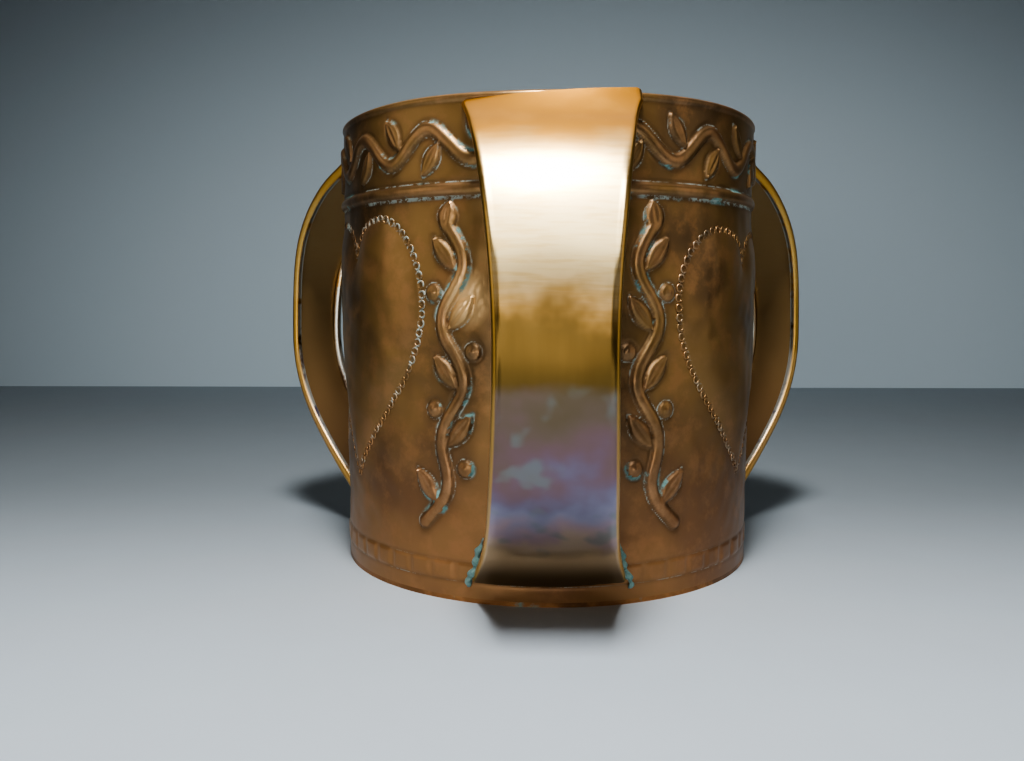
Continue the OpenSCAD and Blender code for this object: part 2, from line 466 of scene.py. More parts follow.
    def foot_band(self, across: np.ndarray, up: np.ndarray) -> tuple:
        """Row of low raised blocks between two chased lines: each block is flat with rounded-off sides.

        Args:
            across: places across, in a grid.
            up: places up, in the same grid.

        Returns:
            Rise of the blocks in millimetres, and the chased lines' mask.
        """
        high, low = self.foot_lines
        pitch = self.half_arc / 9
        sideways = np.abs(across / pitch - np.round(across / pitch)) * 2
        upright = np.abs(2 * (up - (high + low) / 2) / (high - low))
        block = 0.3 * np.clip(1 - (sideways * 1.18) ** 6, 0, 1) * np.clip(1 - (upright * 1.12) ** 6, 0, 1)
        lines = np.exp(-(((up - high) / 0.4) ** 2)) + np.exp(-(((up - low) / 0.4) ** 2))
        return block, np.clip(lines, 0, 1)


@dataclass
class Wall:
    """The embossed wall, as three closed sectors that meet behind the handles."""

    size: MugSize
    columns: int = 292
    outer_rows: int = 246
    inner_rows: int = 62
    rim_roll: float = 1.1
    rim_proud: float = 0.4
    rim_steps: int = 16
    seam_bearing: float = 240.0
    seam_half: float = 0.3
    ring_pitch: float = 2.5
    ring_r: float = 0.98
    ring_tube_r: float = 0.32
    ring_lift: float = 0.06
    ring_steps: int = 18
    ring_around: int = 7

    def section(self) -> dict:
        """Heights of the rows and the arc of the rolled rim, in one section of the wall."""
        middle_r = self.size.radius + self.rim_proud - self.rim_roll
        middle_z = self.size.height - self.rim_roll
        start = -math.acos((self.size.radius - middle_r) / self.rim_roll)
        reach = (middle_r - (self.size.radius - self.size.sheet)) / self.rim_roll
        end = math.pi + math.acos(reach)
        turn = np.linspace(start, end, self.rim_steps)
        across, up = self.rim_roll * np.cos(turn), self.rim_roll * np.sin(turn)
        roll = np.column_stack([middle_r + across, middle_z + up])
        outer = np.linspace(self.size.base, roll[0, 1], self.outer_rows, endpoint=False)
        inner = np.linspace(roll[-1, 1], self.size.base, self.inner_rows + 1)[1:]
        return {"outer": outer, "roll": roll, "inner": inner}

    def sector(self, index: int, first: float, last: float, pattern: Embossing) -> bpy.types.Object:
        """One third of the wall: sections of the sheet, raised by the pattern, carried round the axis.

        Args:
            index: the sector's number.
            first: bearing of its first edge in degrees.
            last: bearing of its last edge.
            pattern: the embossing of this third.

        Returns:
            The sector's object, with its masks of grime and painted shade, rubbing and painted highlight,
            pale crusting and painted glint, and wear kept on its points.
        """
        parts = self.section()
        bearing = np.radians(np.linspace(first, last, self.columns))
        middle = math.radians(untrimmed_start(first) + 60.0)
        across = (bearing - middle) * self.size.radius
        grid_a, grid_z = np.meshgrid(across, parts["outer"], indexing="ij")
        outside = pattern.relief(grid_a, grid_z)
        outer_r = self.size.radius + outside["rise"]
        inner_a, inner_z = np.meshgrid(across, parts["inner"], indexing="ij")
        inner_rise = pattern.relief(inner_a, inner_z)["rise"]
        still = smooth_step((inner_z - self.size.base) / 5.0)
        inner_r = self.size.radius - self.size.sheet + 0.55 * inner_rise * still
        portion = (across + pattern.half_arc) / (2 * pattern.half_arc)
        wave = 0.22 * np.sin(math.pi * portion) * np.sin(3.1 * math.pi * portion + pattern.seed)
        roll_r = np.tile(parts["roll"][:, 0], (self.columns, 1)) + 0.4 * wave[:, None]
        roll_z = np.tile(parts["roll"][:, 1], (self.columns, 1)) + wave[:, None]
        near_rim = smooth_step((grid_z - self.size.height + 12) / 10)
        radius = np.hstack([outer_r, roll_r, inner_r])
        height = np.hstack([grid_z + wave[:, None] * near_rim, roll_z, inner_z])
        turn = bearing[:, None]
        points = np.stack([radius * np.sin(turn), -radius * np.cos(turn), height], axis=-1)
        around = radius.shape[1]
        faces = tube_faces(self.columns, around)
        piece = write_mesh(f"wall_sector_{index}", points.reshape(-1, 3), faces)
        # the rolled rim is brightened: rubbing and a painted highlight
        on_roll = {"dirt_and_shade": 0.0, "polish": 0.9, "crust_and_glint": 0.0, "worn": 0.0}
        # the inside of the mug is darkened a little: grime and painted shade
        on_inside = {"dirt_and_shade": 0.25, "polish": 0.0, "crust_and_glint": 0.0, "worn": 0.0}
        for name, roll_value in on_roll.items():
            roll = np.full(roll_r.shape, roll_value)
            inside = np.full(inner_r.shape, on_inside[name])
            store_mask(piece, name, np.hstack([outside[name], roll, inside]))
        return piece

    def sectors(self) -> list:
        """The three sectors, stopping at the brazed seam's two sides."""
        made = []
        hearts = (Heart(swell=1.35, top=96.5, cleft=88.0), Heart(swell=1.5, top=98.0), Heart(swell=1.4))
        rubbed = (None, None, (43.3, 78.5, 5.5))
        gap = math.degrees(self.seam_half / self.size.radius)
        for index in range(3):
            first = 120.0 * index
            last = first + 120.0
            trim_first = gap if first == self.seam_bearing else 0.0
            trim_last = gap if last == self.seam_bearing else 0.0
            pattern = Embossing(self.size, hearts[index], seed=11 + index, rubbed=rubbed[index])
            made.append((self.sector(index + 1, first + trim_first, last - trim_last, pattern), pattern))
        return made

    def rings(self, index: int, pattern: Embossing) -> bpy.types.Object:
        """Punched rings along a heart's outline: small tori set half into the wall at an even pitch.

        Each torus is a circle of the tube's radius carried round the ring's radius, laid on the
        tangent plane of the wall at its place on the outline.

        Args:
            index: the heart's number.
            pattern: the embossing that the heart belongs to.

        Returns:
            One object that holds all the rings of the heart.
        """
        line = pattern.heart.outline()
        line = np.vstack([line, line[:1]])
        steps = np.hypot(*np.diff(line, axis=0).T)
        along = np.concatenate([[0], np.cumsum(steps)])
        count = int(along[-1] / self.ring_pitch)
        spot = np.linspace(0, along[-1], count, endpoint=False) + self.ring_pitch / 2
        across = np.interp(spot, along, line[:, 0])
        up = np.interp(spot, along, line[:, 1])
        base = pattern.relief(across[:, None], up[:, None])["rise"][:, 0]
        major, minor = np.meshgrid(
            np.linspace(0, 2 * math.pi, self.ring_steps, endpoint=False),
            np.linspace(0, 2 * math.pi, self.ring_around, endpoint=False),
            indexing="ij",
        )
        reach = (self.ring_r + self.ring_tube_r * np.cos(minor)).ravel()
        flat_a = across[:, None] + reach * np.cos(major).ravel()
        flat_z = up[:, None] + reach * np.sin(major).ravel()
        lift = self.ring_lift + self.ring_tube_r * np.sin(minor).ravel()
        out = self.size.radius + base[:, None] + lift
        turn = math.radians(120.0 * index + 60.0) + flat_a / self.size.radius
        points = np.stack([out * np.sin(turn), -out * np.cos(turn), flat_z], axis=-1)
        single = np.array(tube_faces(self.ring_steps, self.ring_around, capped=False))
        offsets = np.arange(count)[:, None, None] * major.size
        faces = (single[None] + offsets).reshape(-1, 4).tolist()
        piece = write_mesh(f"heart_rings_{index + 1}", points.reshape(-1, 3), faces)
        # the rings' pale crusting also stands in for painted glints, strongest on the rubbed heart
        crust_and_glint = 1.0 if pattern.rubbed else 0.66
        for name, value in (("dirt_and_shade", 0.1), ("polish", 0.8), ("crust_and_glint", crust_and_glint), ("worn", 0.0)):
            store_mask(piece, name, np.full(len(piece.data.vertices), value))
        return piece


def untrimmed_start(bearing: float) -> float:
    """The handle's bearing that a sector starts from, whatever its trim."""
    return 120.0 * round(bearing / 120.0)


# ---------------------------------------------------------------- the straps


@dataclass
class Strap:
    """A broad strap handle with its edges rolled over wires."""

    size: MugSize
    bearing: Bearing
    mid_height: float = 66.0
    top_height: float = 126.3
    foot_height: float = 5.4
    leave_angle: float = 26.0
    return_angle: float = 47.0
    upper_pull: tuple = (30.0, 33.0)
    lower_pull: tuple = (27.0, 26.0)
    width_top: float = 44.5
    width_foot: float = 41.0
    top_flare: float = 3.8
    foot_flare: float = 6.5
    curl_r: float = 1.5
    hollow_r: float = 0.62
    curl_depth: float = 1.55
    curl_inset: float = 1.45
    stations: int = 230
    lap_rise: float = 2.3
    lap_tilt: float = 0.6
    lean: float = 0.4
    crown: float = 0.3
    wire_r: float = 0.5
    wire_stations: int = 120
    wire_around: int = 10

    @property
    def reach(self) -> float:
        """How far this handle stands out from the mug's axis."""
        return self.size.front_reach if self.bearing is Bearing.FRONT else self.size.side_reach

    def sweep(self, t: np.ndarray) -> tuple:
        """Radius and height of the outer face, and its outward direction, from t = 0 at the rim to 2."""
        leave, back = math.radians(self.leave_angle), math.radians(self.return_angle)
        r, mid = self.size.radius, self.mid_height
        rim_pull, foot_pull = self.upper_pull[0], self.lower_pull[1]
        upper = np.array([
            (r, self.top_height),
            (r + rim_pull * math.cos(leave), self.top_height - rim_pull * math.sin(leave)),
            (self.reach, mid + self.upper_pull[1]),
            (self.reach, mid),
        ])
        lower = np.array([
            (self.reach, mid),
            (self.reach, mid - self.lower_pull[0]),
            (r + foot_pull * math.cos(back), self.foot_height + foot_pull * math.sin(back)),
            (r, self.foot_height),
        ])
        first = (t < 1)[:, None]
        place = np.where(first, cubic(upper, t), cubic(lower, t - 1))
        slope = np.where(first, cubic_slope(upper, t), cubic_slope(lower, t - 1))
        normal = np.column_stack([-slope[:, 1], slope[:, 0]])
        return place, normal / np.linalg.norm(normal, axis=1, keepdims=True)

    def width(self, up: np.ndarray) -> np.ndarray:
        """Width at a height: a parabola from mid height to each end, with a flare as a high power."""
        rising = np.clip((up - self.mid_height) / (self.top_height - self.mid_height), 0, 1)
        falling = np.clip((self.mid_height - up) / (self.mid_height - self.foot_height), 0, 1)
        middle = self.size.strap_width if self.bearing is Bearing.FRONT else self.size.side_width
        upper = (self.width_top - middle - self.top_flare) * rising**2 + self.top_flare * rising**8
        lower = (self.width_foot - middle - self.foot_flare) * falling**2 + self.foot_flare * falling**6
        return middle + upper + lower

    def curl(self, radius: float, turn: np.ndarray) -> np.ndarray:
        """Points round a rolled edge, as sideways from the curl's middle and depth below the face."""
        return np.column_stack([radius * np.cos(turn), self.curl_depth + radius * np.sin(turn)])

    def cross_section(self) -> tuple:
        """The rolled sheet's section, as (side, sideways from the curl's middle, depth, portion across).

        It runs over the outer face, round one curl's outside, back inside the curl, under the
        inner face, and round the other curl. Side is -1, 0 or 1; where it is 0 the point lies
        the given portion of the way across between the two curls' middles.
        """
        half_face = np.sin(np.linspace(0, math.pi / 2, 9))[:-1]
        face = np.concatenate([-half_face[:0:-1], half_face])
        top_depth = self.curl_depth - self.curl_r
        under_depth = self.curl_depth - self.hollow_r
        curl_out = self.curl(self.curl_r, np.radians(np.linspace(-90, 192, 19)))
        curl_in = self.curl(self.hollow_r, np.radians(np.linspace(186, -90, 13)))
        rows = [(0, 0.0, top_depth, p) for p in face]
        rows += [(1, x, d, 0.0) for x, d in curl_out]
        rows += [(1, x, d, 0.0) for x, d in curl_in]
        rows += [(0, 0.0, under_depth, p) for p in face[::-1]]
        rows += [(-1, -x, d, 0.0) for x, d in curl_in[::-1]]
        rows += [(-1, -x, d, 0.0) for x, d in curl_out[::-1]]
        return np.array(rows).T

    def carry(
        self, along: np.ndarray, offset: np.ndarray, radius: np.ndarray, height: np.ndarray
    ) -> np.ndarray:
        """Stands points of the strap at its bearing.

        At the ends a point at sideways offset x and radius r stands at y = -sqrt(r^2 - x^2), so
        that the strap fits the wall. Away from them the drop r - sqrt(r^2 - x^2) is reduced,
        because the strap is hammered nearly flat across.

        Args:
            along: place along the sweep, 0 at the rim and 2 at the foot.
            offset: sideways offset from the strap's middle.
            radius: distance out from the mug's axis, on the middle line.
            height: height above the table.

        Returns:
            Places in millimetres, (..., 3).
        """
        radius = np.maximum(radius, self.size.radius - 0.35)
        from_wall = smooth_step((radius - self.size.radius - 1.5) / 16.0)
        drop = radius - np.sqrt(radius**2 - offset**2)
        ahead = radius - drop * (1 - (1 - self.crown) * from_wall)
        if self.bearing is Bearing.FRONT:
            offset = offset + self.lean * np.sin(math.pi * along / 2)
        turn = math.radians(self.bearing.value)
        x = offset * math.cos(turn) + ahead * math.sin(turn)
        y = offset * math.sin(turn) - ahead * math.cos(turn)
        return np.stack([x, y, np.broadcast_to(height, x.shape)], axis=-1)

    def wire(self, side: int) -> bpy.types.Object:
        """Wire inside a rolled edge: a round tube about the curl's middle, along the sweep."""
        t = np.linspace(0.05, 1.95, self.wire_stations)
        place, normal = self.sweep(t)
        around = np.linspace(0, 2 * math.pi, self.wire_around, endpoint=False)
        depth = self.curl_depth + self.wire_r * np.sin(around)
        radius = place[:, :1] - depth * normal[:, :1]
        height = place[:, 1:] - depth * normal[:, 1:]
        middle = self.width(height) / 2 - self.curl_inset
        offset = side * (middle + self.wire_r * np.cos(around))
        points = self.carry(t[:, None], offset, radius, height)
        name = "right" if side > 0 else "left"
        faces = tube_faces(self.wire_stations, self.wire_around)
        return write_mesh(f"wire_{self.bearing.word}_{name}", points.reshape(-1, 3), faces)

    def build(self) -> bpy.types.Object:
        """Carries the rolled section along the sweep.

        Slow waves along and across the strap, a tenth of a millimetre deep, are the hammer's.
        The end at the rim is lapped up over the rolled rim, a little more on one side.
        """
        t = 1 - np.cos(np.linspace(0, math.pi, self.stations))
        place, normal = self.sweep(t)
        side, sideways, depth, portion = self.cross_section()
        along = t[:, None]
        front = self.bearing is Bearing.FRONT
        lap = np.clip(1 - along / 0.14, 0, 1) ** 2
        tilt = 1 + self.lap_tilt * (side + portion) * (1 if front else -0.5)
        still = np.sin(math.pi * along / 2)
        hand = 0.14 * np.sin(5.3 * along + self.bearing.value) * still
        dents = np.sin(9.0 * along + 2.2 * portion) + 0.7 * np.sin(15.1 * along - 3.1 * portion + 1.3)
        depth_here = depth + 0.07 * dents * still
        radius = place[:, :1] - depth_here * normal[:, :1] + 0.5 * lap
        height = place[:, 1:] - depth_here * normal[:, 1:] + self.lap_rise * lap * tilt
        half = self.width(height) / 2 - self.curl_inset + hand
        offset = np.where(side == 0, portion * half, side * half + sideways)
        points = self.carry(along, offset, radius, height)
        faces = tube_faces(len(t), len(depth))
        piece = write_mesh(f"strap_{self.bearing.word}", points.reshape(-1, 3), faces)
        full = np.ones((len(t), 1))
        rolled = (side != 0) & (sideways * side > 0.45 * self.curl_r)
        store_mask(piece, "edge", rolled * full)
        under = (side == 0) & (depth > self.curl_depth - self.curl_r + 0.02)
        store_mask(piece, "inside", under * full)
        lip = (side != 0) & (sideways * side < 0.6 * self.curl_r) & (depth > self.curl_depth)
        store_mask(piece, "lip", lip * full)
        store_mask(piece, "along", t[:, None] / 2 * np.ones(len(depth)))
        return piece


@dataclass
class FootCrust:
    """Corroded solder squeezed out beside a strap's foot."""

    strap: Strap
    side: int
    low: float = 4.2
    high: float = 17.5
    thickest: float = 1.35
    stations: int = 60
    around: int = 20

    def build(self) -> bpy.types.Object:
        """A lumpy bead against the wall, along the strap's edge: a tube whose radius swells and fades.

        The radius is the thickest one times a sine over the bead's length, times waves along
        and around the tube.
        """
        share = np.linspace(0, 1, self.stations)[:, None]
        around = np.linspace(0, 2 * math.pi, self.around, endpoint=False)[None, :]
        up = self.low + (self.high - self.low) * share
        lumps = 1 + 0.25 * np.sin(9 * share * math.pi + self.side)
        lumps = lumps + 0.15 * np.sin(23 * share + 3 * around)
        lumps = lumps + 0.1 * np.sin(41 * share - 4 * around + 1.0)
        radius = self.thickest * np.sin(math.pi * (0.04 + 0.92 * share)) ** 0.6 * lumps
        radius = radius * (1.1 - 0.55 * share)
        edge = self.side * (self.strap.width(up) / 2 + 0.35 + 0.3 * np.sin(11 * share))
        offset = edge + radius * np.cos(around)
        out = self.strap.size.radius + 0.15 + radius * np.sin(around)
        ahead = np.sqrt(out**2 - offset**2)
        turn = math.radians(self.strap.bearing.value)
        x = offset * math.cos(turn) + ahead * math.sin(turn)
        y = offset * math.sin(turn) - ahead * math.cos(turn)
        points = np.stack([x, y, up + 0 * offset], axis=-1)
        name = "right" if self.side > 0 else "left"
        faces = tube_faces(self.stations, self.around)
        return write_mesh(f"foot_crust_{self.strap.bearing.word}_{name}", points.reshape(-1, 3), faces)


# ---------------------------------------------------------------- finishes


class NodeGraph:
    """A small helper to lay and join shader nodes in a tree."""

    def __init__(self, tree: bpy.types.NodeTree) -> None:
        """Keeps the tree that nodes are added to."""
        self.tree = tree

    def add(self, kind: str, inputs: dict | None = None, **settings) -> bpy.types.Node:
        """Adds a node, sets its options, and fills its inputs with values or joins them to sockets."""
        node = self.tree.nodes.new(kind)
        for key, value in settings.items():
            setattr(node, key, value)
        for key, value in (inputs or {}).items():
            self.feed(node.inputs[key], value)
        return node

    def feed(self, socket: bpy.types.NodeSocket, value: object) -> None:
        """Joins a socket to another one, or sets its value."""
        if isinstance(value, bpy.types.NodeSocket):
            self.tree.links.new(value, socket)
        else:
            socket.default_value = value

    def math(self, operation: str, a: object, b: object, clamp: bool = False) -> bpy.types.NodeSocket:
        """Result of one sum, held between 0 and 1 where it is clamped."""
        return self.add("ShaderNodeMath", {0: a, 1: b}, operation=operation, use_clamp=clamp).outputs[0]

    def times(self, a: object, b: object) -> bpy.types.NodeSocket:
        """One value times another."""
        return self.math("MULTIPLY", a, b)

    def plus(self, a: object, b: object, clamp: bool = False) -> bpy.types.NodeSocket:
        """One value added to another."""
        return self.math("ADD", a, b, clamp)

    def less(self, a: object, b: object, clamp: bool = False) -> bpy.types.NodeSocket:
        """The first value less the second."""
        return self.math("SUBTRACT", a, b, clamp)

    def most(self, a: object, b: object) -> bpy.types.NodeSocket:
        """The larger of two values."""
        return self.math("MAXIMUM", a, b)

    def mix(self, factor: object, a: object, b: object, blend: str = "MIX") -> bpy.types.NodeSocket:
        """One colour mixed over another."""
        node = self.add("ShaderNodeMix", data_type="RGBA", blend_type=blend)
        self.feed(node.inputs[0], factor)
        self.feed(node.inputs[6], a)
        self.feed(node.inputs[7], b)
        return node.outputs[2]

    def ramp(self, value: object, low: float, high: float) -> bpy.types.NodeSocket:
        """A value spread smoothly from 0 at low to 1 at high."""
        node = self.add("ShaderNodeMapRange", interpolation_type="SMOOTHSTEP")
        self.feed(node.inputs[0], value)
        node.inputs[1].default_value = low
        node.inputs[2].default_value = high
        return node.outputs[0]

    def noise(
        self, place: object, scale: float, detail: float = 4.0, rough: float = 0.55
    ) -> bpy.types.NodeSocket:
        """Cloudy noise between 0 and 1."""
        settings = {"Vector": place, "Scale": scale, "Detail": detail, "Roughness": rough}
        return self.add("ShaderNodeTexNoise", settings).outputs[0]

    def stretch(self, place: object, scale: tuple) -> bpy.types.NodeSocket:
        """A place stretched along its axes, so that a pattern runs long one way."""
        return self.add("ShaderNodeMapping", {"Vector": place, "Scale": scale}).outputs[0]

    def mask(self, name: str) -> bpy.types.NodeSocket:
        """The value kept on the piece's points under a name."""
        return self.add("ShaderNodeAttribute", attribute_name=name).outputs["Fac"]


def new_group(name: str, inputs: dict, outputs: dict) -> tuple:
    """Starts a shader node group with named sockets.

    Args:
        name: the group's name.
        inputs: socket name to (socket type, default).
        outputs: socket name to socket type.

    Returns:
        The group, its graph helper, its input node's sockets and its output node's sockets.
    """
    group = bpy.data.node_groups.new(name, "ShaderNodeTree")
    for label, (kind, default) in inputs.items():
        socket = group.interface.new_socket(label, in_out="INPUT", socket_type=kind)
        if default is not None:
            socket.default_value = default
    for label, kind in outputs.items():
        group.interface.new_socket(label, in_out="OUTPUT", socket_type=kind)
    graph = NodeGraph(group)
    entry = group.nodes.new("NodeGroupInput")
    leave = group.nodes.new("NodeGroupOutput")
    return group, graph, entry.outputs, leave.inputs


FLOAT = "NodeSocketFloat"
COLOUR = "NodeSocketColor"
VECTOR = "NodeSocketVector"


def patina_group() -> bpy.types.NodeTree:
    """Cloudy change of colour over old copper: three tones mixed by wide and narrow clouds."""
    group, graph, entry, leave = new_group(
        "Old copper clouds",
        {"Place": (VECTOR, None), "Main": (COLOUR, (0.3, 0.15, 0.06, 1)),
         "Dark": (COLOUR, (0.1, 0.05, 0.02, 1)), "Warm": (COLOUR, (0.5, 0.2, 0.06, 1)),
         "Scale": (FLOAT, 30.0)},
        {"Colour": COLOUR, "Cloud": FLOAT},
    )
    wide = graph.add("ShaderNodeTexNoise", {
        "Vector": entry["Place"], "Scale": entry["Scale"], "Detail": 3.0})
    fine_scale = graph.times(entry["Scale"], 5.0)
    fine = graph.add("ShaderNodeTexNoise", {
        "Vector": entry["Place"], "Scale": fine_scale, "Detail": 6.0, "Roughness": 0.65})
    dark = graph.ramp(wide.outputs[0], 0.42, 0.62)
    warm = graph.ramp(fine.outputs[0], 0.46, 0.66)
    toned = graph.mix(graph.times(dark, 0.85), entry["Main"], entry["Dark"])
    graph.feed(leave["Colour"], graph.mix(graph.times(warm, 0.55), toned, entry["Warm"]))
    graph.feed(leave["Cloud"], fine.outputs[0])
    return group


def corrosion_group() -> bpy.types.NodeTree:
    """Green corrosion held in hollows: the mask of grime and painted shade in the hollows, broken up by
    two noises.
    """
    group, graph, entry, leave = new_group(
        "Green corrosion in hollows",
        {"Place": (VECTOR, None), "Hollow": (FLOAT, 0.0), "Amount": (FLOAT, 0.5)},
        {"Mask": FLOAT, "Colour": COLOUR},
    )
    clumps = graph.noise(entry["Place"], 95.0, 3.0)
    grains = graph.noise(entry["Place"], 900.0, 5.0, 0.7)
    bias = graph.plus(graph.times(clumps, 2.2), graph.times(grains, 0.6))
    level = graph.plus(graph.less(bias, 1.95), entry["Amount"])
    held = graph.times(graph.ramp(entry["Hollow"], 0.35, 0.9), graph.ramp(level, 0.0, 0.22))
    graph.feed(leave["Mask"], held)
    pale = graph.mix(grains, (0.06, 0.19, 0.17, 1), (0.36, 0.58, 0.55, 1))
    graph.feed(leave["Colour"], pale)
    return group


def hand_work_group() -> bpy.types.NodeTree:
    """Height of hand work: soft planishing, fine pits, and hairline scratches that run two ways."""
    group, graph, entry, leave = new_group(
        "Hand work",
        {"Place": (VECTOR, None), "Planish": (FLOAT, 1.0), "Grain": (FLOAT, 1.0),
         "Scratch": (FLOAT, 1.0)},
        {"Height": FLOAT},
    )
    planish = graph.add("ShaderNodeTexVoronoi", {
        "Vector": entry["Place"], "Scale": 190.0, "Smoothness": 1.0}, feature="SMOOTH_F1").outputs[0]
    grain = graph.noise(entry["Place"], 1400.0, 4.0, 0.6)
    one_way = graph.noise(graph.stretch(entry["Place"], (1.0, 1.0, 26.0)), 190.0, 3.0, 0.7)
    other_way = graph.noise(graph.stretch(entry["Place"], (22.0, 22.0, 1.2)), 120.0, 3.0, 0.7)
    hairs = graph.most(graph.ramp(one_way, 0.62, 0.75), graph.ramp(other_way, 0.64, 0.78))
    height = graph.times(graph.times(planish, entry["Planish"]), 0.5)
    height = graph.plus(height, graph.times(graph.times(grain, entry["Grain"]), 0.06))
    cut = graph.times(graph.times(hairs, entry["Scratch"]), 0.05)
    graph.feed(leave["Height"], graph.less(height, cut))
    return group


@dataclass(frozen=True)
class CopperFinish:
    """One copper finish: its tones, gloss and how worked the surface is.

    The bright tone shows only on the wall's ridges, where it is partly rubbing and partly a painted
    highlight, and on the straps' rolled edges.
    """

    name: str
    main: tuple
    dark: tuple
    warm: tuple
    rough: float
    bright: tuple = (0.8, 0.5, 0.3, 1)
    cloud_scale: float = 30.0
    corrosion: float = 0.5
    planish: float = 0.5
    grain: float = 1.0
    scratch: float = 1.0
    bump: float = 0.12


@dataclass(frozen=True)
class WallWear:
    """Colours laid over the wall's copper: redder towards the foot, gilt where it is rubbed, and pale
    dried polishing paste that also stands in for painted glints along the chased edges.
    """

    foot_red: tuple = (0.42, 0.185, 0.09, 1)
    gilt: tuple = (1.0, 0.66, 0.32, 1)
    # pale dried polishing paste, also a painted glint along the chased edges
    dried_polish_and_glint: tuple = (0.47, 0.52, 0.46, 1)


@dataclass(frozen=True)
class StrapWear:
    """Colours down a strap from its shoulder to its foot, on its inner face and inside its curls. Some
    are painted light: the pale band is partly polishing by handling and partly a painted sheen, the ochre
    band is a painted dim reflection, the foot colours are painted light and painted shade, and the pale
    lip colour is a painted highlight.

    The heat colours are pairs of a place, from 0 at the rim to 1 at the foot, and a colour; the two last
    ones are lightened beyond the torch's colours as painted light on the strap's underside.
    """

    # paler band below the rim: partly polishing by handling, partly a painted sheen
    pale: tuple = (0.86, 0.66, 0.37, 1)
    rubbed_sheen: tuple = (0.78, 0.56, 0.27, 1)
    # ochre band down the middle of the strap: a painted dim reflection
    ochre_dark: tuple = (0.12, 0.082, 0.03, 1)
    ochre_light: tuple = (0.20, 0.135, 0.05, 1)
    # the foot is lightened as painted light, then darkened towards its end as painted shade
    foot_painted_light: tuple = (0.66, 0.47, 0.29, 1)
    foot_painted_shade: tuple = (0.16, 0.11, 0.06, 1)
    inner_top: tuple = (0.68, 0.46, 0.21, 1)
    inner_foot: tuple = (0.38, 0.23, 0.11, 1)
    # pale lips of the curls: a painted highlight
    lip_highlight: tuple = (0.74, 0.73, 0.66, 1)
    cool_patch: tuple = (0.25, 0.29, 0.28, 1)
    heat: tuple = (
        (0.53, (0.20, 0.15, 0.085, 1)),
        (0.60, (0.24, 0.175, 0.14, 1)),
        (0.66, (0.27, 0.155, 0.18, 1)),
        (0.72, (0.23, 0.21, 0.30, 1)),
        (0.77, (0.33, 0.33, 0.44, 1)),
        (0.82, (0.44, 0.30, 0.34, 1)),
        (0.88, (0.56, 0.43, 0.31, 1)),
    )


